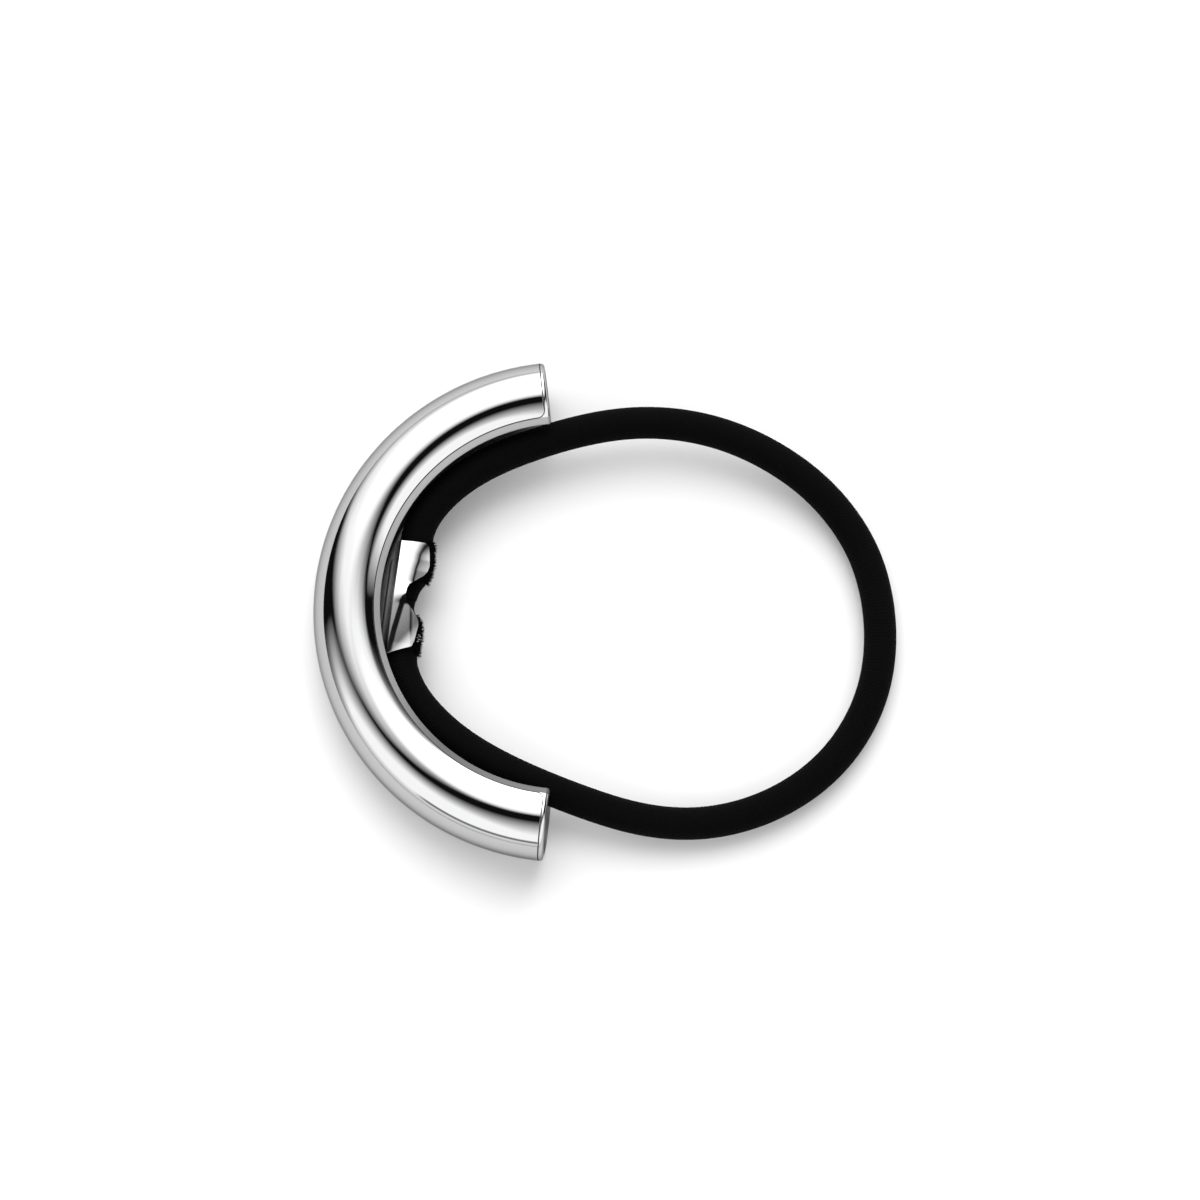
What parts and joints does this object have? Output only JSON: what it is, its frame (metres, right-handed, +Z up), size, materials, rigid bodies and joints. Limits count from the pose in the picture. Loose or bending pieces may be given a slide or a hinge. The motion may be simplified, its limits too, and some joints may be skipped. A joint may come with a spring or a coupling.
{
  "type": "ponytail cuff",
  "caption": "Half-ring cuff of polished hollow bar with a round black elastic, held by a folded clamp in the bar's open inner side, worn round a ponytail.",
  "frame": {"origin": "under the middle of the bar's bounding box, on the surface that the cuff lies on", "axes": "+X from the bar towards the loop, out of the half ring's open side; +Z up, along the ring's axis, so that the bar's height is its diameter; the bar's width is along Y"},
  "size_m": [0.0719, 0.0622, 0.0098],
  "materials": {
    "polished_metal": "mirror-polished silver-coloured plate",
    "clamp_metal": "bright silver-coloured plate, pressed sheet",
    "elastic_cover": "fine knitted black cover, matt"
  },
  "bodies": {
    "root": {"cuff": "polished_metal", "clamp": "clamp_metal", "elastic": "elastic_cover"}
  },
  "joints": []
}
